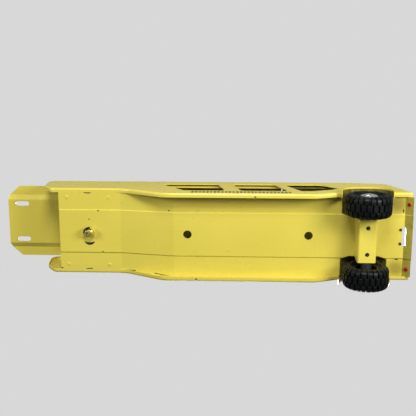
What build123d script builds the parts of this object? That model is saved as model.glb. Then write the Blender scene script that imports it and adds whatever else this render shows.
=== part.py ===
from build123d import *
import math
import os

os.makedirs("parts", exist_ok=True)

# Toy car-carrier semi-trailer in pressed sheet steel. Millimetres.
# The origin is the kingpin's axis on the lower face of the coupler plate.
# +X points to the front of the trailer, +Y to its left side and +Z up.

# Driving dimensions
SHEET = 1.0  # sheet thickness
HALF_W = 56.6  # outer face of a side panel
RIM = 5.4  # depth of a side panel's rolled edge
RIM_R = 2.6  # outer radius of the rolled edge
EMBOSS = 1.2  # height of the raised centre of the lower deck
EMBOSS_HALF = 29.0  # half width of the raised centre at its foot

PANEL_TOP = 61.5
PANEL_FRONT_BOTTOM = EMBOSS  # level with the coupler plate's side strips
PANEL_MID_BOTTOM = -30.5
PANEL_REAR_BOTTOM = -14.0
PANEL_FRONT_X = 68.0
PANEL_REAR_X = -412.0

PLATE_FRONT_X = 39.3  # coupler plate's front edge
STEP_START_X = -42.0  # the deck starts to slope down here
STEP_END_X = -111.0  # and is level again here
DECK_END_X = -402.0
DECK_STRIP_Z = -11.7  # lower face of the main deck beside its raised centre
DECK_HOLES_X = (-129.0, -282.7)
DECK_HOLE_R = 5.4
WELD_X = (28.7, -25.3)  # spot welds and the crossmembers above them
WELD_Y = 44.8
WELD_R = 2.6
REAR_SLOT = (-401.6, 26.0, 4.4)  # X, length and width of the slot over the skirt's fold
SMALL_HOLE = (-397.4, 9.0, 1.3)  # X, Y and radius
RELIEF_SLIT = (-96.5, 54.9, 23.0, 1.2, 7.0)  # X, Y, length, width and angle of the slit in the slope
SKIRT_END = (-410.5, -18.0)  # lower edge of the rear skirt, X and Z

WINDOW_TOP = 40.0
WINDOW_SILL = -8.0

UPPER_STRIP_Z = 59.5  # lower face of the upper deck's side strips
UPPER_DROP = 3.4  # its centre lies this much lower
UPPER_CENTRE_HALF = 30.6
UPPER_SLOPE_HALF = 37.0
OVERHANG_HALF = 49.2
OVERHANG_FRONT_X = 124.5
UPPER_REAR_X = -251.5
UPPER_FLANGE = 27.0  # depth of the upper deck's side flanges
UPPER_FLANGE_X = (40.0, -341.0)  # front and rear ends of the side flanges
FLANGE_CUT = (20.0, 18.0)  # cut off a flange's rear lower corner, along X and Z
UPPER_HALF = 53.5  # outer face of the side flanges
OVERHANG_SLOT = (104.8, 25.0, 18.6, 6.4)  # X, Y, length and width

HINGE = (-256.0, 57.3)  # axis of the upper ramp, X and Z
HINGE_PIN_R = 1.5
BARREL_R = 3.0
RAMP_HALF = 49.4
RAMP_REAR_X = -380.0

AXLE = (-352.0, -36.0)  # X and Z
AXLE_R = 2.75
AXLE_HALF = 56.6
RUNNING_GAP = 0.08  # radial clearance of a hub on the axle
BRACKET_X = (-363.0, -340.6)
BRACKET_HALF = 27.0
BRACKET_BOTTOM = -40.0
BRACKET_HOLE = (16.7, 2.7)  # Y and radius

TYRE_R = 28.2
TYRE_INNER_Y = 31.2
TYRE_OUTER_Y = 58.6
RIM_SEAT_R = 15.5
CAP_R = 10.4  # hub cap's seat in the hub
LUG_COUNT = 24
LUG_DEPTH = 2.4

HOUSING_X = (-385.0, -320.5)  # outer faces of a wheel housing
HOUSING_TOP = 1.0
HOUSING_FOOT = -25.0
HOUSING_INNER_Y = 25.5
HOUSING_OUTER_Y = 61.0
HOUSING_CORNER = (13.5, 4.5)  # cut off the inner corners, along X and Y
HOUSING_R = 24.0

LENS_Y = 41.8
LENS_STEM_R = 2.0
LENS_HEAD_R = 2.6

KINGPIN_R = 6.6
KINGPIN_STEM_R = 4.0
KINGPIN_STRAIGHT = 7.0
KINGPIN_DOME = 3.6

SIDES = {"left": 1, "right": -1}
PANEL_IN = HALF_W - SHEET  # inner face of a side panel
DECK_CENTRE_Z = DECK_STRIP_Z - EMBOSS
WASHER_TOP = EMBOSS + SHEET + 1.2


def save(name, shape):
    """Write one sub-part as parts/name.step."""
    shape.label = name
    export_step(shape, f"parts/{name}.step")


def mirrored(shape, side):
    """The left-hand shape, or its mirror image on the right."""
    return shape if side > 0 else mirror(shape, about=Plane.XZ)


def rounded(corners):
    """A face from (x, y, radius) corners."""
    face = make_face(Polyline(*[(x, y) for x, y, _ in corners], close=True)).face()
    for x, y, radius in corners:
        if radius:
            corner = face.vertices().sort_by_distance((x, y, 0))[0]
            face = face.fillet_2d(radius, [corner])
    return face


def side_slab(face, outer_y, inner_y):
    """Extrude a face drawn in X and Z from outer_y in to inner_y."""
    return extrude(Plane.XZ.offset(-outer_y) * face, outer_y - inner_y)


def box_between(low, high):
    """A box from its two opposite corners."""
    size = [b - a for a, b in zip(low, high)]
    centre = [(a + b) / 2 for a, b in zip(low, high)]
    return Pos(*centre) * Box(*size)


def disc_y(x, z, radius, y0, y1):
    """A cylinder along Y, from y0 to y1."""
    return Pos(x, (y0 + y1) / 2, z) * Rot(90, 0, 0) * Cylinder(radius, abs(y1 - y0))


def sheet_section(path, thickness):
    """A closed section over a path that is drawn towards -X or -Y: the path and its copy, moved up."""
    count = len(path)
    raised = []
    for i, (x, z) in enumerate(path):
        before = path[max(i - 1, 0)]
        after = path[min(i + 1, count - 1)]
        into = math.atan2(z - before[1], x - before[0]) if i else None
        out = math.atan2(after[1] - z, after[0] - x) if i < count - 1 else None
        into = out if into is None else into
        out = into if out is None else out
        middle = (into + out) / 2
        reach = thickness / math.cos((out - into) / 2)
        raised.append((x + reach * math.sin(middle), z - reach * math.cos(middle)))
    return make_face(Polyline(*path, *reversed(raised), close=True)).face()


# ---- side panels -------------------------------------------------------------------------------

def panel_outline():
    """Outline of a side panel in X and Z."""
    return rounded([
        (49.5, PANEL_FRONT_BOTTOM, 9),
        (62.5, 20.0, 30),
        (PANEL_FRONT_X, PANEL_TOP, 11),
        (-352.0, PANEL_TOP, 60),
        (-392.0, 51.5, 13),
        (PANEL_REAR_X, PANEL_REAR_BOTTOM, 2.8),
        (-386.0, PANEL_REAR_BOTTOM, 0),
        (-321.0, -17.0, 18),
        (-290.0, PANEL_MID_BOTTOM, 35),
        (-99.0, PANEL_MID_BOTTOM, 40),
        (-45.0, PANEL_FRONT_BOTTOM, 40),
    ])


def windows():
    """The three window outlines in X and Z, front to rear."""
    front = rounded([
        (-124.0, WINDOW_SILL, 7), (-90.0, WINDOW_TOP, 5), (-166.0, WINDOW_TOP, 5), (-177.0, WINDOW_SILL, 5)])
    middle = rounded([
        (-196.5, WINDOW_SILL, 5), (-186.0, WINDOW_TOP, 5), (-241.0, WINDOW_TOP, 5), (-257.0, WINDOW_SILL, 5)])
    rear = rounded([
        (-272.5, WINDOW_SILL, 4), (-253.0, WINDOW_TOP, 4), (-302.0, WINDOW_TOP, 6), (-324.0, 13.5, 3),
        (-311.0, 3.0, 14), (-288.0, WINDOW_SILL + 1.0, 14)])
    return [front, middle, rear]


def housing_section(inset):
    """Arch of a wheel housing in X and Z, moved inwards by the inset."""
    x0, x1 = HOUSING_X[0] + inset, HOUSING_X[1] - inset
    top = HOUSING_TOP - inset
    radius = HOUSING_R - inset
    return rounded([
        (x0, HOUSING_FOOT, 0), (x0, top, radius), (x1, top, radius), (x1, HOUSING_FOOT, 0)])


def side_panel():
    """Left side panel: a shallow pan with rolled edges, windows and a wheel arch."""
    outline = panel_outline()
    pan = side_slab(outline, HALF_W, HALF_W - RIM)
    pan = fillet(pan.faces().sort_by(Axis.Y)[-1].edges(), RIM_R)
    cavity = side_slab(offset(outline, -SHEET).face(), PANEL_IN, HALF_W - RIM)
    cavity = fillet(cavity.faces().sort_by(Axis.Y)[-1].edges(), RIM_R - SHEET)
    pan -= cavity
    for window in windows():
        pan -= side_slab(window, HALF_W + 1, PANEL_IN - 1)
    arch = side_slab(housing_section(0), HALF_W + 1, HALF_W - RIM - 1)
    return pan - arch


# ---- decks -------------------------------------------------------------------------------------

def deck_path(drop):
    """Lower face of the lower deck in X and Z, front to rear, lowered by drop."""
    return [
        (PLATE_FRONT_X, EMBOSS + 8.0), (PLATE_FRONT_X, EMBOSS - drop),
        (STEP_START_X, EMBOSS - drop), (STEP_END_X, DECK_STRIP_Z - drop),
        (DECK_END_X, DECK_STRIP_Z - drop), (SKIRT_END[0], SKIRT_END[1] - drop)]


def plan_face(points):
    """A plan-view face from its corners."""
    return make_face(Polyline(*points, close=True)).face()


def height_at(path, x):
    """Height of a path at x. The path is drawn towards -X."""
    for (x0, z0), (x1, z1) in zip(path, path[1:]):
        if x1 <= x <= x0:
            return z0 + (z1 - z0) * (x0 - x) / (x0 - x1)
    return path[-1][1]


def raised_centre():
    """The part of the lower sheet that is pressed down, with sloped sides."""
    path = deck_path(EMBOSS)[1:]
    path[0] = (PLATE_FRONT_X - 0.5, path[0][1])
    slab = side_slab(sheet_section(path, EMBOSS), EMBOSS_HALF, -EMBOSS_HALF)
    lower = []
    for edge in slab.edges():
        middle = edge.center()
        at_side = abs(abs(middle.Y) - EMBOSS_HALF) < 0.01 and edge.length > 2 * EMBOSS
        if at_side and middle.Z < height_at(path, middle.X) + EMBOSS / 2:
            lower.append(edge)
    return chamfer(lower, EMBOSS - 0.05)


def folded_sheet():
    """The lower sheet from the coupler plate's lip to the skirt's edge, with its raised centre."""
    sheet = side_slab(sheet_section(deck_path(0), SHEET), PANEL_IN, -PANEL_IN)
    sheet += raised_centre()
    x, length, width = REAR_SLOT
    sheet -= Pos(x, 0, DECK_STRIP_Z) * extrude(SlotOverall(length, width, rotation=90), 6, both=True)
    for side in SIDES.values():
        rim_y = sorted((side * (HALF_W - RIM), side * (PANEL_IN + 1)))
        sheet -= box_between((STEP_START_X - 18, rim_y[0], -10), (PLATE_FRONT_X + 1, rim_y[1], 12))
        sheet -= box_between((SKIRT_END[0] - 2, rim_y[0], -22), (DECK_END_X + 3, rim_y[1], -5))
        edge_y = sorted((side * UPPER_HALF, side * (PANEL_IN + 1)))
        sheet -= box_between((DECK_END_X, edge_y[0], -14), (HOUSING_X[0], edge_y[1], -5))
    return sheet


def stretch(shape, x0, x1):
    """The part of the lower sheet from x0 forward to x1."""
    return shape & box_between((x0, -HALF_W, -30), (x1, HALF_W, 20))


def coupler_plate():
    """Level front of the lower sheet, with its turned-up lip, spot welds and the kingpin's hole."""
    plate = stretch(folded_sheet(), STEP_START_X, PLATE_FRONT_X + SHEET + 1)
    for x in WELD_X:
        for side in SIDES.values():
            plate += Pos(x, side * WELD_Y, EMBOSS + 0.05) * scale(Sphere(WELD_R), (1, 1, 0.22))
    return plate - Cylinder(KINGPIN_STEM_R, 10)


def lower_deck():
    """Slope and main deck, with side flanges, two holes and the wheel openings."""
    deck = stretch(folded_sheet(), DECK_END_X, STEP_START_X)
    for side in SIDES.values():
        flange_y = sorted((side * PANEL_IN, side * (PANEL_IN - SHEET)))
        flange_top = WINDOW_SILL - 1.3
        deck += box_between((-318, flange_y[0], DECK_STRIP_Z), (STEP_END_X, flange_y[1], flange_top))
        deck -= wheel_opening(side)
        x, y, length, width, angle = RELIEF_SLIT
        deck -= Pos(x, side * y, DECK_STRIP_Z) * Rot(0, 0, -side * angle) * Box(length, width, 12)
        x, y, radius = SMALL_HOLE
        deck -= Pos(x, side * y, DECK_STRIP_Z) * Cylinder(radius, 6)
    for x in DECK_HOLES_X:
        deck -= Pos(x, 0, DECK_STRIP_Z) * Cylinder(DECK_HOLE_R, 10)
    return deck


def housing_plan(inset):
    """Plan of a left-hand wheel housing, moved inwards by the inset."""
    x0, x1 = HOUSING_X[0] + inset, HOUSING_X[1] - inset
    y = HOUSING_INNER_Y + inset
    run, depth = HOUSING_CORNER
    far = HOUSING_OUTER_Y + 1
    return plan_face([(x0, far), (x0, y + depth), (x0 + run, y), (x1 - run, y), (x1, y + depth), (x1, far)])


def housing_block(inset):
    """Arched block with two inner corners cut off, moved inwards by the inset."""
    arch = side_slab(housing_section(inset), HOUSING_OUTER_Y + inset, HOUSING_INNER_Y + inset)
    return arch & Pos(0, 0, HOUSING_FOOT - 1) * extrude(housing_plan(inset), 30)


def wheel_opening(side):
    """The space that one wheel housing takes out of the deck."""
    return mirrored(housing_block(0), side)


def rear_skirt():
    """Rear edge of the lower sheet, folded down, with a hole for each tail light."""
    skirt = stretch(folded_sheet(), SKIRT_END[0] - 2, DECK_END_X)
    for side in SIDES.values():
        skirt -= tail_light_axis(side) * Cylinder(LENS_STEM_R, 8)
    return skirt


def upper_section(half):
    """Section of the upper deck in Y and Z: low centre, sloped steps and side strips."""
    low = UPPER_STRIP_Z - UPPER_DROP
    left = [(half, UPPER_STRIP_Z), (UPPER_SLOPE_HALF, UPPER_STRIP_Z), (UPPER_CENTRE_HALF, low)]
    right = [(-y, z) for y, z in reversed(left)]
    return sheet_section(left + right, SHEET)


def along_x(section, x0, x1):
    """Extrude a section drawn in Y and Z from x0 to x1."""
    return extrude(Plane.YZ.offset(x0) * section, x1 - x0)


def upper_flange():
    """Outline of the upper deck's side flange in X and Z. Its rear part guards the ramp's side."""
    front, rear = UPPER_FLANGE_X
    top = UPPER_STRIP_Z + SHEET
    bottom = top - UPPER_FLANGE
    return rounded([
        (front, bottom, 4), (front, top, 0), (rear, top, 3), (rear, bottom + FLANGE_CUT[1], 4),
        (rear + FLANGE_CUT[0], bottom, 6)])


def upper_deck():
    """Fixed upper deck: front overhang with two slots and side flanges that carry the ramp's hinge."""
    deck = along_x(upper_section(OVERHANG_HALF), UPPER_REAR_X, OVERHANG_FRONT_X)
    edge_strip = 54.0
    for side in SIDES.values():
        y = sorted((side * (OVERHANG_HALF - 1), side * UPPER_HALF))
        top = UPPER_STRIP_Z + SHEET
        deck += box_between((UPPER_REAR_X, y[0], UPPER_STRIP_Z), (edge_strip, y[1], top))
        y = sorted((side * (UPPER_HALF - SHEET), side * UPPER_HALF))
        deck += side_slab(upper_flange(), y[1], y[0])
        corner = plan_face([
            (OVERHANG_FRONT_X + 1, side * (UPPER_CENTRE_HALF - 1.5)), (OVERHANG_FRONT_X - 2.2, side * 37.4),
            (109.0, side * OVERHANG_HALF), (109.0, side * 60), (OVERHANG_FRONT_X + 1, side * 60)])
        deck -= Pos(0, 0, 50) * extrude(corner, 20, dir=(0, 0, 1))
        x, slot_y, length, width = OVERHANG_SLOT
        deck -= Pos(x, side * slot_y, UPPER_STRIP_Z) * extrude(SlotOverall(length, width), 10, both=True)
        deck -= disc_y(HINGE[0], HINGE[1], HINGE_PIN_R, y[0] - 1, y[1] + 1)
    return deck


def upper_ramp():
    """Rear section of the upper deck, which drops on its hinge pin."""
    ramp = along_x(upper_section(RAMP_HALF), RAMP_REAR_X, HINGE[0] - 1.5)
    for side in SIDES.values():
        y = sorted((side * RAMP_HALF, side * (RAMP_HALF - SHEET)))
        flange_bottom = UPPER_STRIP_Z - 6
        ramp += box_between((RAMP_REAR_X, y[0], flange_bottom), (HINGE[0] - 4, y[1], UPPER_STRIP_Z + SHEET))
    ramp += disc_y(HINGE[0], HINGE[1], BARREL_R, -RAMP_HALF, RAMP_HALF)
    return ramp - disc_y(HINGE[0], HINGE[1], HINGE_PIN_R + RUNNING_GAP, -RAMP_HALF - 1, RAMP_HALF + 1)


def ramp_hinge_pin():
    """Steel rod that the upper ramp turns on."""
    return disc_y(HINGE[0], HINGE[1], HINGE_PIN_R, -UPPER_HALF, UPPER_HALF)


def ramp_clip():
    """Left-hand retaining washer on the hinge pin."""
    y1 = UPPER_HALF - SHEET
    ring = disc_y(HINGE[0], HINGE[1], 2.8, y1 - 0.8, y1)
    return ring - disc_y(HINGE[0], HINGE[1], HINGE_PIN_R, y1 - 2, y1 + 1)


# ---- coupler -----------------------------------------------------------------------------------

def kingpin():
    """Domed plug under the coupler plate, with a stem riveted over above it."""
    body = Pos(0, 0, -KINGPIN_STRAIGHT / 2) * Cylinder(KINGPIN_R, KINGPIN_STRAIGHT)
    dome = Pos(0, 0, -KINGPIN_STRAIGHT) * scale(Sphere(KINGPIN_R), (1, 1, KINGPIN_DOME / KINGPIN_R))
    top = WASHER_TOP + 1.6
    stem = Pos(0, 0, top / 2) * Cylinder(KINGPIN_STEM_R, top)
    rivet = Pos(0, 0, WASHER_TOP + 0.8) * Cone(5.8, 4.2, 1.6)
    return body + dome + stem + rivet


def kingpin_washer():
    """Backing washer between the coupler plate and the riveted stem."""
    bottom = EMBOSS + SHEET
    ring = Cylinder(9.0, WASHER_TOP - bottom) - Cylinder(KINGPIN_STEM_R, 3)
    return Pos(0, 0, (bottom + WASHER_TOP) / 2) * ring


def crossmember(x):
    """Flat bar over the coupler plate, its ends turned up against the side panels."""
    top = EMBOSS + SHEET
    bar = box_between((x - 7, -UPPER_HALF, top), (x + 7, UPPER_HALF, top + 1.2))
    for side in SIDES.values():
        y = sorted((side * (UPPER_HALF - 1.2), side * UPPER_HALF))
        bar += box_between((x - 7, y[0], top), (x + 7, y[1], top + 9))
    return bar


# ---- axle and wheels ---------------------------------------------------------------------------

def axle_bracket():
    """Folded box under the deck that carries the axle."""
    x0, x1 = BRACKET_X
    shell = box_between((x0, -BRACKET_HALF, BRACKET_BOTTOM), (x1, BRACKET_HALF, DECK_CENTRE_Z))
    long_edges = shell.edges().filter_by(Axis.Y).group_by(Axis.Z)[0]
    shell = fillet(long_edges, 2.2)
    core = box_between((x0 + SHEET, -BRACKET_HALF + SHEET, BRACKET_BOTTOM + SHEET),
                       (x1 - SHEET, BRACKET_HALF - SHEET, DECK_CENTRE_Z + 1))
    core = fillet(core.edges().filter_by(Axis.Y).group_by(Axis.Z)[0], 1.2)
    shell -= core
    for side in SIDES.values():
        y = sorted((side * (BRACKET_HALF - 2), side * (BRACKET_HALF + 1)))
        shell -= box_between((x0 - 1, y[0], AXLE[1] + 11), (x1 + 1, y[1], DECK_CENTRE_Z + 1))
        hole_y, hole_r = BRACKET_HOLE
        shell -= Pos(AXLE[0], side * hole_y, BRACKET_BOTTOM) * Cylinder(hole_r, 6)
    return shell - disc_y(AXLE[0], AXLE[1], AXLE_R, -BRACKET_HALF - 2, BRACKET_HALF + 2)


def axle():
    """Steel rod, chamfered at both ends."""
    rod = disc_y(AXLE[0], AXLE[1], AXLE_R, -AXLE_HALF, AXLE_HALF)
    return chamfer(rod.edges().filter_by(GeomType.CIRCLE), 0.6)


def ring_y(points):
    """Revolve an (r, y) outline round the axle."""
    profile = make_face(Polyline(*points, close=True)).face()
    solid = revolve(Plane.XY * profile, Axis.Y)
    return Pos(AXLE[0], 0, AXLE[1]) * solid


def axle_nut():
    """Left-hand push nut that keeps the wheel on the axle."""
    return ring_y([(AXLE_R, 54.0), (6.0, 54.0), (6.0, 54.8), (4.0, 55.6), (AXLE_R, 55.6)])


def wheel_hub():
    """Left-hand hub: boss, web and the rim that carries the tyre."""
    bore = AXLE_R + RUNNING_GAP
    return ring_y([
        (bore, 28.0), (6.5, 28.0), (7.0, 42.0), (13.5, 43.0), (13.5, 34.0), (RIM_SEAT_R, 34.0),
        (RIM_SEAT_R, 55.2), (13.5, 55.2), (13.0, 47.0), (11.6, 47.0), (11.6, 55.0), (CAP_R, 55.0),
        (CAP_R, 46.0), (7.0, 46.0), (7.0, 53.4), (bore, 53.4)])


def tyre():
    """Left-hand tyre with round shoulders, a centre row of lugs and a row over each shoulder."""
    body_r = TYRE_R - LUG_DEPTH
    y0, y1 = TYRE_INNER_Y, TYRE_OUTER_Y
    middle = (y0 + y1) / 2
    carcass = ring_y([
        (RIM_SEAT_R, 33.6), (17.0, y0 + 1.6), (19.0, y0 + 0.8), (22.0, y0 + 0.8), (24.2, y0 + 2.2),
        (body_r - 0.3, y0 + 5.0), (body_r, middle), (body_r - 0.3, y1 - 5.0), (24.2, y1 - 2.2),
        (22.0, y1 - 0.8), (19.0, y1 - 0.8), (17.0, y1 - 1.6), (RIM_SEAT_R, 55.6)])
    pitch = 360 / LUG_COUNT
    centre_lug = box_between((-2.6, middle - 4.2, body_r - 1.5), (2.6, middle + 4.2, TYRE_R))
    outline = [(y1 - 8.6, body_r - 1.5), (y1 - 8.6, TYRE_R - 0.2), (y1 - 4.4, TYRE_R - 0.7),
               (y1 - 1.6, TYRE_R - 2.6), (y1, TYRE_R - 5.4), (y1, TYRE_R - 8.0), (y1 - 1.4, TYRE_R - 8.0)]
    shoulder = extrude(Plane.YZ.offset(-2.4) * plan_face(outline), 4.8)
    shoulder_lugs = [shoulder, Pos(0, 2 * middle, 0) * mirror(shoulder, about=Plane.XZ)]
    lugs = []
    for i in range(LUG_COUNT):
        lugs.append(Rot(0, (i + 0.5) * pitch, 0) * centre_lug)
        lugs += [Rot(0, i * pitch, 0) * lug for lug in shoulder_lugs]
    return carcass + [Pos(AXLE[0], 0, AXLE[1]) * lug for lug in lugs]


def hubcap():
    """Left-hand pressed hub cap over the axle's end."""
    outer = [(CAP_R, 52.5), (CAP_R, 55.6), (9.4, 57.0), (7.4, 58.0), (4.0, 58.7), (0, 58.9)]
    inner = [(0, 58.2), (3.8, 58.0), (6.9, 57.4), (8.7, 56.5), (CAP_R - 0.7, 55.2), (CAP_R - 0.7, 52.5)]
    return ring_y(outer + inner)


def wheel_housing():
    """Left-hand arched housing over the wheel, with a flared lip outside the panel."""
    shell = housing_block(0) - housing_block(SHEET)
    below = box_between((HOUSING_X[0] - 1, HOUSING_INNER_Y - 1, HOUSING_FOOT - 1),
                        (HOUSING_X[1] + 1, HALF_W - RIM, DECK_STRIP_Z))
    return shell - below


# ---- trim --------------------------------------------------------------------------------------

def tail_light_axis(side):
    """Place and direction of a tail light, square to the middle of the rear skirt's sheet."""
    run, rise = DECK_END_X - SKIRT_END[0], DECK_STRIP_Z - SKIRT_END[1]
    lean = math.atan2(rise, run)
    x = (DECK_END_X + SKIRT_END[0]) / 2 - SHEET / 2 * math.sin(lean)
    z = (DECK_STRIP_Z + SKIRT_END[1]) / 2 + SHEET / 2 * math.cos(lean)
    return Pos(x, side * LENS_Y, z) * Rot(0, -math.degrees(lean), 0)


def rear_rivet():
    """Dark rivet in the left-hand small hole at the rear of the deck."""
    x, y, radius = SMALL_HOLE
    body = Cylinder(radius, SHEET + EMBOSS)
    head = Pos(0, 0, -(SHEET + EMBOSS) / 2 - 0.3) * Cylinder(radius + 0.5, 0.6)
    return Pos(x, y, DECK_STRIP_Z + SHEET - (SHEET + EMBOSS) / 2) * (body + head)


def tail_light(side):
    """Red lens pushed through the rear skirt, domed on both sides."""
    lens = Cylinder(LENS_STEM_R, 2.4)
    for end in (1, -1):
        head = Pos(0, 0, end * (SHEET / 2 + 0.5)) * Cylinder(LENS_HEAD_R, 1.0)
        lens += fillet(head.edges().filter_by(GeomType.CIRCLE).sort_by(Axis.Z)[-1 if end > 0 else 0], 0.9)
    return tail_light_axis(side) * lens


def side_stripe():
    """Plain printed stripe low on the left side panel."""
    return box_between((-286.0, HALF_W, -20.4), (-140.0, HALF_W + 0.15, -17.6))


save("coupler_plate", coupler_plate())
save("lower_deck", lower_deck())
save("rear_skirt", rear_skirt())
save("upper_deck", upper_deck())
save("upper_ramp", upper_ramp())
save("ramp_hinge_pin", ramp_hinge_pin())
save("kingpin", kingpin())
save("kingpin_washer", kingpin_washer())
save("crossmember_front", crossmember(WELD_X[0]))
save("crossmember_rear", crossmember(WELD_X[1]))
save("axle_bracket", axle_bracket())
save("axle", axle())
for name, side in SIDES.items():
    save(f"side_panel_{name}", mirrored(side_panel(), side))
    save(f"wheel_housing_{name}", mirrored(wheel_housing(), side))
    save(f"wheel_hub_{name}", mirrored(wheel_hub(), side))
    save(f"tyre_{name}", mirrored(tyre(), side))
    save(f"hubcap_{name}", mirrored(hubcap(), side))
    save(f"axle_nut_{name}", mirrored(axle_nut(), side))
    save(f"ramp_clip_{name}", mirrored(ramp_clip(), side))
    save(f"tail_light_{name}", tail_light(side))
    save(f"rear_rivet_{name}", mirrored(rear_rivet(), side))
    save(f"side_stripe_{name}", mirrored(side_stripe(), side))
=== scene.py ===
import math

import bmesh
import bpy
from mathutils import Matrix, Vector


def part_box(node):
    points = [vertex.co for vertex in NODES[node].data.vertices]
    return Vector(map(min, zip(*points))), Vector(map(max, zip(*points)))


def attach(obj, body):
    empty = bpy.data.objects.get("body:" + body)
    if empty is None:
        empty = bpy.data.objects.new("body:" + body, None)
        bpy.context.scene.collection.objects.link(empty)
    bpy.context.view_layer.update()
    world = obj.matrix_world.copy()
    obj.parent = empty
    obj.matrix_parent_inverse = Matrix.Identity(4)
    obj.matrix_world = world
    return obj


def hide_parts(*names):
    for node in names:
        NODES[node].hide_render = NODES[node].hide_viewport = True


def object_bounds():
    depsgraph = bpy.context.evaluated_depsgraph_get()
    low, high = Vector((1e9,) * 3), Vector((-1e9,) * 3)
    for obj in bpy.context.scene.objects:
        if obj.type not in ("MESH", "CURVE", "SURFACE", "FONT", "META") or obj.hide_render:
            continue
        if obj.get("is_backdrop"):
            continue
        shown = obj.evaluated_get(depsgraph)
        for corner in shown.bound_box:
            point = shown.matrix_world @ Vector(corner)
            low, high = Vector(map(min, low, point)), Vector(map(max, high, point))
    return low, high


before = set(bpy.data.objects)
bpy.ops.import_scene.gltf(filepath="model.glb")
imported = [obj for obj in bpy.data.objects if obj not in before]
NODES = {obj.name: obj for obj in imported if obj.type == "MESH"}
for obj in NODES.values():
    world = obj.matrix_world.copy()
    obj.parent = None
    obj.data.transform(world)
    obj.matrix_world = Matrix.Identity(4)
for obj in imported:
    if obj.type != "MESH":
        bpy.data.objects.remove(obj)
CAD_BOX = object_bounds()

# Camera: below the trailer and towards its left side, looking up at the underside
CAMERA_PLACE = (-0.1946, 0.2040, -0.8546)
CAMERA_TARGET = (-0.1552, 0.0343, -0.0100)
CAMERA_UP = (0.0088, 0.9804, 0.1965)
LENS_MM = 58.85
SENSOR_MM = 36.0

FLOOR_HALF = 3.0
BACKDROP = 0.686  # linear grey of the backdrop


# ---- camera, floor, light ----------------------------------------------------------------------

def make_camera():
    """The scene camera, from its place, target and upward direction."""
    data = bpy.data.cameras.new("camera")
    data.lens = LENS_MM
    data.sensor_width = SENSOR_MM
    data.clip_start = 0.01
    data.clip_end = 50.0
    camera = bpy.data.objects.new("camera", data)
    bpy.context.scene.collection.objects.link(camera)
    back = (Vector(CAMERA_PLACE) - Vector(CAMERA_TARGET)).normalized()
    right = Vector(CAMERA_UP).cross(back).normalized()
    up = back.cross(right)
    turn = Matrix((right, up, back)).transposed().to_4x4()
    camera.matrix_world = Matrix.Translation(CAMERA_PLACE) @ turn
    bpy.context.scene.camera = camera


def make_floor(height):
    """A plain pale floor that is seen only from above, so that light and sight pass from below.

    It glows a little, so that it stays pale far from the lights."""
    mesh = bpy.data.meshes.new("floor")
    s = FLOOR_HALF
    mesh.from_pydata([(-s, -s, 0), (s, -s, 0), (s, s, 0), (-s, s, 0)], [], [(0, 1, 2, 3)])
    floor = bpy.data.objects.new("floor", mesh)
    bpy.context.scene.collection.objects.link(floor)
    floor.location = (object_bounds()[0][0] / 2, 0, height)
    floor.visible_shadow = False
    floor.visible_diffuse = False
    floor.visible_glossy = False
    material = bpy.data.materials.new("floor")
    material.use_nodes = True
    tree = material.node_tree
    tree.nodes.clear()
    out = tree.nodes.new("ShaderNodeOutputMaterial")
    mix = tree.nodes.new("ShaderNodeMixShader")
    geometry = tree.nodes.new("ShaderNodeNewGeometry")
    matt = tree.nodes.new("ShaderNodeBsdfDiffuse")
    matt.inputs["Color"].default_value = (0.50, 0.50, 0.50, 1)
    pale = tree.nodes.new("ShaderNodeEmission")
    pale.inputs["Color"].default_value = (0.36, 0.36, 0.36, 1)
    lit = tree.nodes.new("ShaderNodeAddShader")
    clear = tree.nodes.new("ShaderNodeBsdfTransparent")
    tree.links.new(geometry.outputs["Backfacing"], mix.inputs[0])
    tree.links.new(matt.outputs[0], lit.inputs[0])
    tree.links.new(pale.outputs[0], lit.inputs[1])
    tree.links.new(lit.outputs[0], mix.inputs[1])
    tree.links.new(clear.outputs[0], mix.inputs[2])
    tree.links.new(mix.outputs[0], out.inputs["Surface"])
    mesh.materials.append(material)
    floor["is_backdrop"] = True


def make_world(above, below):
    """Grey surroundings. The camera sees the backdrop's grey, and surfaces get light from all sides."""
    world = bpy.data.worlds.new("studio")
    bpy.context.scene.world = world
    world.use_nodes = True
    tree = world.node_tree
    tree.nodes.clear()
    out = tree.nodes.new("ShaderNodeOutputWorld")
    mix = tree.nodes.new("ShaderNodeMixShader")
    path = tree.nodes.new("ShaderNodeLightPath")
    seen = tree.nodes.new("ShaderNodeBackground")
    seen.inputs["Color"].default_value = (BACKDROP, BACKDROP, BACKDROP, 1)
    fill = tree.nodes.new("ShaderNodeBackground")
    coords = tree.nodes.new("ShaderNodeTexCoord")
    split = tree.nodes.new("ShaderNodeSeparateXYZ")
    level = tree.nodes.new("ShaderNodeMapRange")
    level.inputs["From Min"].default_value = -0.5
    level.inputs["From Max"].default_value = 0.6
    level.inputs["To Min"].default_value = below
    level.inputs["To Max"].default_value = above
    tree.links.new(coords.outputs["Generated"], split.inputs[0])
    tree.links.new(split.outputs["Z"], level.inputs["Value"])
    tree.links.new(level.outputs["Result"], fill.inputs["Strength"])
    tree.links.new(path.outputs["Is Camera Ray"], mix.inputs[0])
    tree.links.new(fill.outputs[0], mix.inputs[1])
    tree.links.new(seen.outputs[0], mix.inputs[2])
    tree.links.new(mix.outputs[0], out.inputs["Surface"])


def area_light(name, place, target, size, power):
    """A soft square light aimed at the target."""
    data = bpy.data.lights.new(name, "AREA")
    data.shape = "SQUARE"
    data.size = size
    data.energy = power
    light = bpy.data.objects.new(name, data)
    bpy.context.scene.collection.objects.link(light)
    light.location = place
    light.rotation_euler = (Vector(target) - Vector(place)).to_track_quat("-Z", "Y").to_euler()


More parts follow.
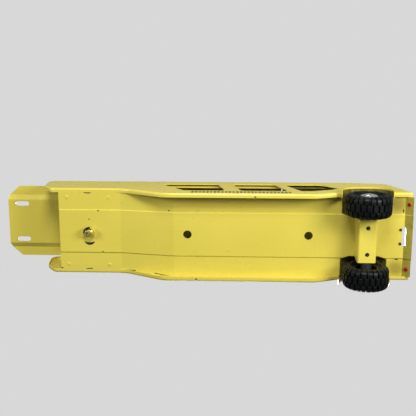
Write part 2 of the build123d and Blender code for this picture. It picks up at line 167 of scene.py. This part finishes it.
make_camera()
bpy.context.scene.view_settings.view_transform = "Standard"
make_floor(CAD_BOX[0][2])
make_world(0.28, 0.08)
MIDDLE = (-0.15, 0, 0)
area_light("key_left", (0.62, 0.32, -0.50), (-0.05, 0, 0), 0.25, 3.2)
area_light("key_right", (-0.76, 0.30, -0.50), (-0.20, 0, 0), 0.30, 5.4)
area_light("key_top", (-0.16, 0.85, -0.72), MIDDLE, 0.40, 8.8)
area_light("above", (-0.15, -0.30, 1.35), MIDDLE, 0.40, 11.0)
area_light("beside_left", (-0.15, 1.50, 0.55), MIDDLE, 0.50, 5.0)
area_light("beside_right", (-0.15, -1.50, 0.55), MIDDLE, 0.50, 7.0)


# ---- node helpers ------------------------------------------------------------------------------

class Graph:
    """A small helper that adds shader nodes and links them."""

    def __init__(self, name):
        self.material = bpy.data.materials.new(name)
        self.material.use_nodes = True
        self.tree = self.material.node_tree
        self.tree.nodes.clear()
        self.out = self.add("ShaderNodeOutputMaterial")
        self.shader = self.add("ShaderNodeBsdfPrincipled")
        self.link(self.shader.outputs[0], self.out.inputs["Surface"])
        coords = self.add("ShaderNodeTexCoord")
        self.place = coords.outputs["Object"]

    def add(self, kind):
        return self.tree.nodes.new(kind)

    def link(self, a, b):
        self.tree.links.new(a, b)

    def put(self, socket, value):
        """Link a socket, or set a plain value."""
        if hasattr(value, "is_linked"):
            self.link(value, socket)
        elif isinstance(value, tuple):
            socket.default_value = value if len(value) == 4 or socket.type != "RGBA" else (*value, 1)
        else:
            socket.default_value = value

    def math(self, kind, a, b=0.0, c=None, clamp=False):
        node = self.add("ShaderNodeMath")
        node.operation = kind
        node.use_clamp = clamp
        self.put(node.inputs[0], a)
        self.put(node.inputs[1], b)
        if c is not None:
            self.put(node.inputs[2], c)
        return node.outputs[0]

    def noise(self, scale, detail=3.0, rough=0.55, vector=None):
        node = self.add("ShaderNodeTexNoise")
        node.inputs["Scale"].default_value = scale
        node.inputs["Detail"].default_value = detail
        node.inputs["Roughness"].default_value = rough
        self.link(vector or self.place, node.inputs["Vector"])
        return node.outputs["Fac"]

    def ramp(self, value, low, high, out_low=0.0, out_high=1.0):
        node = self.add("ShaderNodeMapRange")
        node.interpolation_type = "SMOOTHSTEP"
        self.put(node.inputs["Value"], value)
        self.put(node.inputs["From Min"], low)
        self.put(node.inputs["From Max"], high)
        self.put(node.inputs["To Min"], out_low)
        self.put(node.inputs["To Max"], out_high)
        return node.outputs["Result"]

    def mix(self, factor, a, b):
        node = self.add("ShaderNodeMix")
        node.data_type = "RGBA"
        self.put(node.inputs[0], factor)
        self.put(node.inputs[6], a)
        self.put(node.inputs[7], b)
        return node.outputs[2]

    def stretched(self, sx, sy, sz):
        """The object's coordinates, scaled along each axis."""
        node = self.add("ShaderNodeMapping")
        node.inputs["Scale"].default_value = (sx, sy, sz)
        self.link(self.place, node.inputs["Vector"])
        return node.outputs["Vector"]

    def axes(self):
        """The object's X, Y and Z coordinates."""
        if not hasattr(self, "split"):
            node = self.add("ShaderNodeSeparateXYZ")
            self.link(self.place, node.inputs[0])
            self.split = (node.outputs[0], node.outputs[1], node.outputs[2])
        return self.split

    def length(self, a, b):
        """Length of the vector (a, b)."""
        return self.math("SQRT", self.math("ADD", self.math("MULTIPLY", a, a), self.math("MULTIPLY", b, b)))

    def soft_oval(self, centre, half_x, half_y, amount):
        """A soft-edged oval in the plan view, strongest at its centre."""
        x, y, z = self.axes()
        dx = self.math("DIVIDE", self.math("SUBTRACT", x, centre[0]), half_x)
        dy = self.math("DIVIDE", self.math("SUBTRACT", y, centre[1]), half_y)
        return self.ramp(self.length(dx, dy), 1.0, 0.15, 0.0, amount)

    def within(self, box):
        """1 inside a box of the object's coordinates, 0 outside it."""
        inside = 1.0
        for value, low, high in zip(self.axes(), *box):
            middle, half = (low + high) / 2, (high - low) / 2
            away = self.math("ABSOLUTE", self.math("SUBTRACT", value, middle))
            inside = self.math("MULTIPLY", inside, self.ramp(away, half + 0.0004, half - 0.0004))
        return inside

    def bump(self, height, strength, distance, normal=None):
        node = self.add("ShaderNodeBump")
        node.inputs["Strength"].default_value = strength
        node.inputs["Distance"].default_value = distance
        self.link(height, node.inputs["Height"])
        if normal is not None:
            self.link(normal, node.inputs["Normal"])
        return node.outputs["Normal"]

    def edges(self, radius):
        """1 near convex and concave edges, 0 on open surfaces."""
        bevel = self.add("ShaderNodeBevel")
        bevel.samples = 6
        bevel.inputs["Radius"].default_value = radius
        geometry = self.add("ShaderNodeNewGeometry")
        dot = self.add("ShaderNodeVectorMath")
        dot.operation = "DOT_PRODUCT"
        self.link(bevel.outputs[0], dot.inputs[0])
        self.link(geometry.outputs["Normal"], dot.inputs[1])
        return self.ramp(dot.outputs["Value"], 0.98, 0.80)


# ---- materials ---------------------------------------------------------------------------------

def yellow_paint(name, marks=(), painted_shade_boxes=(), painted_shade_depth=0.97, painted_shadow_ovals=()):
    """Glossy yellow enamel on steel: slight tone changes, rare chips, chips along edges and marks.

    The shade boxes and shade ovals mark painted shade: the paint is darker there, standing in for shadow."""
    g = Graph(name)
    broad = g.noise(7.0, 2.0)
    fine = g.noise(150.0, 3.0)
    paint = g.mix(g.ramp(broad, 0.3, 0.7), (0.655, 0.548, 0.075), (0.70, 0.588, 0.085))
    streak = g.noise(70.0, 2.0, vector=g.stretched(0.10, 1.0, 1.0))
    paint = g.mix(g.ramp(streak, 0.52, 0.8, 0.0, 0.14), paint, (0.56, 0.45, 0.05))
    # How dark the painted shade is, varying a little with the fine noise.
    painted_shade_cover = g.ramp(fine, 0.2, 0.7, painted_shade_depth, painted_shade_depth * 0.82)
    # Painted shade: darker paint inside each box.
    for box in painted_shade_boxes:
        paint = g.mix(g.math("MULTIPLY", g.within(box), painted_shade_cover), paint, (0.035, 0.028, 0.006))
    # Painted shadow: darker paint inside each oval.
    for spot in painted_shadow_ovals:
        paint = g.mix(g.soft_oval(*spot), paint, (0.16, 0.12, 0.015))
    edge = g.edges(0.0009)
    chip_noise = g.noise(230.0, 4.0, 0.65)
    chip = g.math("MULTIPLY", edge, g.ramp(chip_noise, 0.60, 0.63))
    spot_place = g.add("ShaderNodeTexVoronoi")
    spot_place.inputs["Scale"].default_value = 34.0
    g.link(g.place, spot_place.inputs["Vector"])
    pick = g.add("ShaderNodeSeparateColor")
    g.link(spot_place.outputs["Color"], pick.inputs[0])
    spot = g.math("MULTIPLY", g.ramp(spot_place.outputs["Distance"], 0.030, 0.018),
                  g.ramp(pick.outputs[0], 0.80, 0.82))
    bare = g.math("MAXIMUM", chip, g.math("MULTIPLY", spot, 0.8))
    for mark in marks:
        bare = g.math("MAXIMUM", bare, mark(g, chip_noise))
    g.link(g.mix(bare, paint, (0.030, 0.020, 0.012)), g.shader.inputs["Base Color"])
    rough = g.ramp(fine, 0.3, 0.7, 0.27, 0.37)
    g.link(g.math("ADD", rough, g.math("MULTIPLY", bare, 0.3)), g.shader.inputs["Roughness"])
    g.shader.inputs["IOR"].default_value = 1.5
    g.shader.inputs["Coat Weight"].default_value = 0.2
    g.shader.inputs["Coat Roughness"].default_value = 0.15
    peel = g.bump(g.noise(600.0, 2.0), 0.08, 0.0002)
    wave = g.bump(g.noise(18.0, 1.0), 0.10, 0.002, peel)
    g.link(g.bump(g.math("SUBTRACT", 1.0, bare), 0.5, 0.0002, wave), g.shader.inputs["Normal"])
    return g.material


def dark_arc(centre, radius, middle_deg, half_deg, width):
    """A dark arc in the plan view, thickest at its middle."""
    def mark(g, noise):
        x, y, z = g.axes()
        dx = g.math("SUBTRACT", x, centre[0])
        dy = g.math("SUBTRACT", y, centre[1])
        reach = g.length(dx, dy)
        turn = g.math("ARCTAN2", dy, dx)
        off = g.math("DIVIDE", g.math("SUBTRACT", turn, math.radians(middle_deg)), math.radians(half_deg))
        taper = g.math("SUBTRACT", 1.0, g.math("MULTIPLY", off, off), clamp=True)
        rough_edge = g.math("MULTIPLY_ADD", noise, 0.9, 0.55)
        limit = g.math("MULTIPLY", taper, g.math("MULTIPLY", rough_edge, width / 2))
        away = g.math("ABSOLUTE", g.math("SUBTRACT", reach, radius))
        inside = g.ramp(g.math("SUBTRACT", limit, away), -0.00005, 0.00015)
        return g.math("MULTIPLY", inside, g.ramp(z, 0.003, 0.002))
    return mark


def chip_at(centre, half_x, half_y, low_z, high_z):
    """An uneven oval chip round a point of the plan view, between two heights."""
    def mark(g, noise):
        x, y, z = g.axes()
        dx = g.math("DIVIDE", g.math("SUBTRACT", x, centre[0]), half_x)
        dy = g.math("DIVIDE", g.math("SUBTRACT", y, centre[1]), half_y)
        reach = g.length(dx, dy)
        uneven = g.math("MULTIPLY_ADD", noise, -1.2, 1.6)
        inside = g.ramp(g.math("MULTIPLY", reach, uneven), 1.05, 0.9)
        level = g.math("MULTIPLY", g.ramp(z, low_z - 0.0002, low_z), g.ramp(z, high_z + 0.0002, high_z))
        return g.math("MULTIPLY", inside, level)
    return mark


def rubber(name):
    """Matt black rubber with dusty grey on the lugs."""
    g = Graph(name)
    dust = g.noise(140.0, 4.0, 0.7)
    color = g.mix(g.ramp(dust, 0.55, 0.85), (0.0020, 0.0032, 0.0030), (0.012, 0.015, 0.015))
    g.link(color, g.shader.inputs["Base Color"])
    g.link(g.ramp(dust, 0.3, 0.8, 0.36, 0.60), g.shader.inputs["Roughness"])
    g.shader.inputs["Specular IOR Level"].default_value = 0.22
    g.link(g.bump(g.noise(900.0, 2.0), 0.25, 0.0002), g.shader.inputs["Normal"])
    return g.material


def metal(name, tint, rough, marks=()):
    """Bright plated steel with fine scratches and a few dull spots."""
    g = Graph(name)
    spots = g.noise(240.0, 4.0, 0.7)
    color = g.mix(g.ramp(spots, 0.62, 0.78), tint, tuple(c * 0.35 for c in tint))
    for mark in marks:
        color = g.mix(mark(g, spots), color, (0.010, 0.008, 0.006))
    g.link(color, g.shader.inputs["Base Color"])
    g.shader.inputs["Metallic"].default_value = 0.75
    g.link(g.ramp(spots, 0.4, 0.75, rough, rough + 0.25), g.shader.inputs["Roughness"])
    lines = g.noise(300.0, 2.0, vector=g.stretched(1.0, 0.025, 0.025))
    g.link(g.bump(lines, 0.08, 0.0002), g.shader.inputs["Normal"])
    return g.material


def plastic(name, tint, rough):
    """Moulded plastic with slight mottling and a fine texture."""
    g = Graph(name)
    mottle = g.noise(150.0, 3.0)
    light = tuple(c * 1.5 for c in tint)
    g.link(g.mix(g.ramp(mottle, 0.35, 0.7), tint, light), g.shader.inputs["Base Color"])
    g.link(g.ramp(mottle, 0.3, 0.7, rough, rough + 0.12), g.shader.inputs["Roughness"])
    g.link(g.bump(g.noise(800.0, 2.0), 0.12, 0.0002), g.shader.inputs["Normal"])
    return g.material


def paint_all(material, *names):
    """Give CAD nodes one material."""
    for name in names:
        for slot in NODES[name].material_slots:
            slot.material = material


# A dark arc on the -Y side of the kingpin, then chips in the paint.
PLATE_MARKS = (
    dark_arc((-0.0001, -0.0078), 0.0088, -90.0, 54.0, 0.0036),
    chip_at((0.0013, 0.0508), 0.0050, 0.0010, -0.001, 0.004),
    chip_at((0.0018, -0.0510), 0.0047, 0.0010, -0.001, 0.004),
    chip_at((-0.0122, 0.0275), 0.0014, 0.0007, -0.001, 0.004),
    chip_at((-0.0171, -0.0272), 0.0012, 0.0006, -0.001, 0.004),
    chip_at((0.0000, 0.0161), 0.0010, 0.0007, -0.001, 0.004),
    chip_at((0.0381, -0.0500), 0.0016, 0.0009, -0.001, 0.004),
)
DECK_MARKS = (
    chip_at((-0.1055, 0.0305), 0.0012, 0.0007, -0.020, 0.001),
    chip_at((-0.3945, -0.0298), 0.0022, 0.0009, -0.020, 0.001),
    chip_at((-0.4000, 0.0330), 0.0009, 0.0022, -0.020, 0.001),
)
# Ovals of painted shadow on the deck: at both rear corners and ahead of the axle bracket.
DECK_PAINTED_SHADOW = (
    ((-0.392, 0.042), 0.020, 0.022, 0.75),
    ((-0.394, -0.042), 0.018, 0.018, 0.60),
    ((-0.322, 0.020), 0.016, 0.030, 0.22),
)
PANEL_MARKS = (
    chip_at((-0.0854, 0.0556), 0.0014, 0.0011, -0.032, -0.026),
    chip_at((-0.2143, 0.0526), 0.0012, 0.0010, -0.032, -0.026),
    chip_at((-0.1410, -0.0534), 0.0014, 0.0011, -0.032, -0.026),
)
PAINT = yellow_paint("yellow_paint")
# Boxes of painted shade on the undersides between the decks, and on the flanges beside the ramp
UPPER_PAINTED_SHADE = [((-0.390, -0.0310, 0.020), (0.028, 0.0310, 0.0566))]
for y_low, y_high in ((0.0375, 0.0523), (-0.0523, -0.0375)):
    UPPER_PAINTED_SHADE.append(((-0.390, y_low, 0.020), (0.028, y_high, 0.0600)))
for y_low, y_high in ((0.0520, 0.0545), (-0.0545, -0.0520)):
    UPPER_PAINTED_SHADE.append(((-0.390, y_low, 0.020), (-0.252, y_high, 0.0594)))
UPPER_PAINT = yellow_paint("yellow_paint_upper", painted_shade_boxes=UPPER_PAINTED_SHADE)
# Painted shade inside the wheel housings.
HOUSING_PAINTED_SHADE = (((-0.390, -0.0590, -0.024), (-0.315, 0.0590, 0.010)),)
HOUSING_PAINT = yellow_paint("yellow_paint_housing", painted_shade_boxes=HOUSING_PAINTED_SHADE)
PLATE_PAINT = yellow_paint("yellow_paint_plate", PLATE_MARKS)
DECK_PAINT = yellow_paint("yellow_paint_deck", DECK_MARKS, painted_shadow_ovals=DECK_PAINTED_SHADOW)
# Lighter painted shade on the inner face of the rear skirt.
SKIRT_PAINTED_SHADE = (((-0.420, -0.060, -0.030), (-0.4015, 0.060, 0.0)),)
SKIRT_PAINT = yellow_paint("yellow_paint_skirt", painted_shade_boxes=SKIRT_PAINTED_SHADE, painted_shade_depth=0.55)
PANEL_PAINT = yellow_paint("yellow_paint_panel", PANEL_MARKS)
RUBBER = rubber("tyre_rubber")
CHROME = metal("chrome", (0.55, 0.55, 0.53), 0.20)
# The dark arc on the +X, +Y side of the dome is partly worn plating and partly painted reflection of dark
# surroundings; the yellow tint below is partly brass plating and partly painted reflection of the yellow
# plate.
PIN_WEAR_AND_PAINTED_REFLECTION = (
    dark_arc((0.0, 0.0), 0.0054, 62.0, 84.0, 0.0038),
    chip_at((0.0010, 0.0002), 0.0016, 0.0010, -0.020, 0.001),
)
PIN = metal("pin_plating", (0.80, 0.66, 0.16), 0.24, marks=PIN_WEAR_AND_PAINTED_REFLECTION)
STEEL = metal("steel", (0.30, 0.30, 0.30), 0.32)
DARK_STEEL = metal("dark_steel", (0.06, 0.055, 0.05), 0.45)
HUB = plastic("hub_plastic", (0.006, 0.007, 0.007), 0.45)
LENS = plastic("red_lens", (0.30, 0.003, 0.008), 0.25)
PRINT = plastic("stripe_print", (0.16, 0.10, 0.03), 0.4)


# ---- detailed pieces ---------------------------------------------------------------------------

def new_piece(name, bm, body, slot, material, *nodes):
    """Make an object of a bmesh, ride it on a body and let it stand for CAD nodes."""
    bmesh.ops.recalc_face_normals(bm, faces=bm.faces)
    mesh = bpy.data.meshes.new(name)
    bm.to_mesh(mesh)
    bm.free()
    mesh.materials.append(material)
    piece = bpy.data.objects.new(name, mesh)
    bpy.context.scene.collection.objects.link(piece)
    mesh.shade_smooth()
    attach(piece, body)
    if nodes:
        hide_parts(*nodes)
    return piece


def crisp(piece, width):
    """Round a piece's edges and keep its flat faces flat."""
    bevel = piece.modifiers.new("bevel", "BEVEL")
    bevel.width = width
    bevel.segments = 2
    bevel.limit_method = "ANGLE"
    bevel.angle_limit = math.radians(35.0)
    bevel.harden_normals = True


def lathe(bm, profile, turn, segments):
    """Revolve (radius, height) points; turn places a point from its radius, angle and height."""
    rings = []
    for i in range(segments):
        angle = 2 * math.pi * i / segments
        rings.append([bm.verts.new(turn(r, angle, h)) for r, h in profile])
    count = len(profile)
    for i in range(segments):
        a, b = rings[i], rings[(i + 1) % segments]
        for j in range(count):
            k = (j + 1) % count
            bm.faces.new((a[j], a[k], b[k], b[j]))


LOW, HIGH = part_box("tyre_left")
WHEEL_CENTRE = ((LOW[0] + HIGH[0]) / 2, (LOW[2] + HIGH[2]) / 2)
TYRE_R = (HIGH[2] - LOW[2]) / 2
TYRE_IN, TYRE_OUT = LOW[1], HIGH[1]
LUGS = 24


def about_axle(side):
    """Place a point from its radius, angle and distance from the trailer's middle plane."""
    def turn(radius, angle, y):
        x, z = WHEEL_CENTRE
        return (x + radius * math.sin(angle), side * y, z + radius * math.cos(angle))
    return turn


def arc_points(centre, radius, start_deg, end_deg, count):
    """(radius, height) points on an arc round a (radius, height) centre."""
    points = []
    for i in range(count):
        angle = math.radians(start_deg + (end_deg - start_deg) * i / (count - 1))
        points.append((centre[0] + radius * math.cos(angle), centre[1] + radius * math.sin(angle)))
    return points


def carcass_profile():
    """Closed outline of the tyre's body, without its lugs."""
    r = TYRE_R - 0.0026
    y0, y1 = TYRE_IN + 0.0010, TYRE_OUT - 0.0010
    out = [(0.0156, 0.0336), (0.0172, y0 + 0.0010), (0.0190, y0)]
    out += arc_points((r - 0.0048, y0 + 0.0048), 0.0048, -90, 0, 7)
    out += arc_points((r - 0.0048, y1 - 0.0048), 0.0048, 0, 90, 7)
    out += [(0.0196, y1), (0.0188, y1 - 0.0006), (0.0178, y1 - 0.0006), (0.0170, y1 - 0.0016)]
    out += [(0.0156, 0.0554)]
    return out


def add_lug(bm, turn, angle, spine, half_base, half_top, depth):
    """A lug along (radius, height) points, narrower at its top than at its foot."""
    rows = []
    for r, y, dr, dy in spine:
        foot = (r - depth * dr, y - depth * dy)
        rows.append([
            turn(foot[0], angle - half_base / foot[0], foot[1]),
            turn(r, angle - half_top / r, y),
            turn(r, angle + half_top / r, y),
            turn(foot[0], angle + half_base / foot[0], foot[1])])
    verts = [[bm.verts.new(p) for p in row] for row in rows]
    for a, b in zip(verts, verts[1:]):
        for k in range(4):
            bm.faces.new((a[k], a[(k + 1) % 4], b[(k + 1) % 4], b[k]))
    bm.faces.new(verts[0])
    bm.faces.new(verts[-1])


def shoulder_spine(y_edge, inward):
    """Points over a tyre's shoulder, each with its outward direction, from the tread to the side."""
    flat = [
        (TYRE_R - 0.0002, y_edge + inward * 0.0086, 1.0, 0.0),
        (TYRE_R - 0.0003, y_edge + inward * 0.0062, 1.0, 0.0)]
    curve = []
    bend = 0.0057
    for step in range(5):
        angle = math.radians(12 + 19.5 * step)
        r = TYRE_R - 0.0060 + bend * math.cos(angle)
        y = y_edge + inward * (bend - bend * math.sin(angle))
        curve.append((r, y, math.cos(angle), -inward * math.sin(angle)))
    side = [
        (TYRE_R - 0.0085, y_edge, 0.0, -inward),
        (TYRE_R - 0.0096, y_edge + inward * 0.0003, 0.0, -inward)]
    return flat + curve + side


def make_tyre(name, side):
    """Tyre with a centre row of lugs and a row over each shoulder, half a pitch apart."""
    bm = bmesh.new()
    turn = about_axle(side)
    lathe(bm, carcass_profile(), turn, 96)
    middle = (TYRE_IN + TYRE_OUT) / 2
    pitch = 2 * math.pi / LUGS
    outer = shoulder_spine(TYRE_OUT, -1)
    inner = shoulder_spine(TYRE_IN, 1)
    centre = [(TYRE_R - 0.0001, middle + k * 0.0041, 1.0, 0.0) for k in (-1, 0, 1)]
    for i in range(LUGS):
        add_lug(bm, turn, (i + 0.5) * pitch, centre, 0.0030, 0.0025, 0.0032)
        add_lug(bm, turn, i * pitch, outer, 0.0028, 0.0022, 0.0030)
        add_lug(bm, turn, i * pitch, inner, 0.0028, 0.0022, 0.0030)
    piece = new_piece(f"tyre_{name}_treaded", bm, f"wheel_{name}", "tyre_rubber", RUBBER, f"tyre_{name}")
    crisp(piece, 0.00035)


def make_hubcap(name, side):
    """Pressed hub cap with a stepped rim and a domed centre."""
    low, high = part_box(f"hubcap_{name}")
    top = max(abs(low[1]), abs(high[1]))
    seat = min(abs(low[1]), abs(high[1]))
    r = (high[2] - low[2]) / 2
    bm = bmesh.new()
    outer = [(r, seat), (r, top - 0.0030), (r - 0.0006, top - 0.0020), (r - 0.0018, top - 0.0018),
             (r - 0.0026, top - 0.0024), (r - 0.0034, top - 0.0014), (r - 0.0050, top - 0.0007),
             (r - 0.0072, top - 0.0002), (0.0001, top)]
    inner = [(max(a - 0.0006, 0.0001), b - 0.0007) for a, b in reversed(outer)]
    lathe(bm, outer + inner, about_axle(side), 64)
    piece = new_piece(f"hubcap_{name}_pressed", bm, f"wheel_{name}", "chrome", CHROME, f"hubcap_{name}")
    crisp(piece, 0.00015)


STRIPE_X = (-0.260, -0.134)  # rear and front ends of the printed bars
STRIPE_BARS = 27


def make_stripe(name, side):
    """Printed row of short upright bars along a side panel."""
    low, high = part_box(f"side_stripe_{name}")
    face = min(abs(low[1]), abs(high[1]))
    start, end = STRIPE_X
    pitch = (end - start) / STRIPE_BARS
    middle = (low[2] + high[2]) / 2
    bm = bmesh.new()
    for i in range(STRIPE_BARS):
        x0 = start + (i + 0.16) * pitch
        x1 = start + (i + 0.84) * pitch
        half = 0.0052 if i % 3 else 0.0042
        corners = [(x0, middle - half), (x1, middle - half), (x1, middle + half), (x0, middle + half)]
        near = [bm.verts.new((x, side * face, z)) for x, z in corners]
        far = [bm.verts.new((x, side * (face + 0.00015), z)) for x, z in corners]
        bm.faces.new(near)
        bm.faces.new(far)
        for k in range(4):
            bm.faces.new((near[k], near[(k + 1) % 4], far[(k + 1) % 4], far[k]))
    new_piece(f"side_stripe_{name}_printed", bm, "trailer", "stripe_print", PRINT, f"side_stripe_{name}")


def make_kingpin():
    """Domed plug on a short neck, riveted over above the plate."""
    low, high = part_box("kingpin")
    r = (high[0] - low[0]) / 2
    bottom, top = low[2], high[2]
    dome = 0.0036
    neck = bottom + dome
    profile = [(0.0001, bottom)]
    for degrees in range(10, 91, 8):
        angle = math.radians(degrees)
        profile.append((r * math.sin(angle), neck - dome * math.cos(angle)))
    profile += [(r, -0.0021), (r - 0.0006, -0.0015), (r - 0.0006, 0.0), (0.0040, 0.0)]
    profile += [(0.0040, top - 0.0016),
                (0.0058, top - 0.0016), (0.0056, top - 0.0008), (0.0042, top), (0.0001, top)]
    bm = bmesh.new()
    lathe(bm, profile, lambda radius, angle, z: (radius * math.cos(angle), radius * math.sin(angle), z), 64)
    piece = new_piece("kingpin_turned", bm, "trailer", "chrome", PIN, "kingpin")
    crisp(piece, 0.0002)


for side_name, sign in (("left", 1), ("right", -1)):
    make_tyre(side_name, sign)
    make_hubcap(side_name, sign)
    make_stripe(side_name, sign)
make_kingpin()

PAINTED = ("axle_bracket", "crossmember_front",
           "crossmember_rear")
paint_all(PAINT, *PAINTED)
paint_all(PLATE_PAINT, "coupler_plate")
paint_all(DECK_PAINT, "lower_deck")
paint_all(SKIRT_PAINT, "rear_skirt")
paint_all(UPPER_PAINT, "upper_deck", "upper_ramp")
paint_all(HOUSING_PAINT, "wheel_housing_left", "wheel_housing_right")
paint_all(PANEL_PAINT, "side_panel_left", "side_panel_right")
paint_all(STEEL, "kingpin_washer", "ramp_hinge_pin")
paint_all(DARK_STEEL, "axle")
for side in ("left", "right"):
    paint_all(HUB, f"wheel_hub_{side}")
    paint_all(STEEL, f"axle_nut_{side}", f"ramp_clip_{side}")
    paint_all(DARK_STEEL, f"rear_rivet_{side}")
    paint_all(LENS, f"tail_light_{side}")
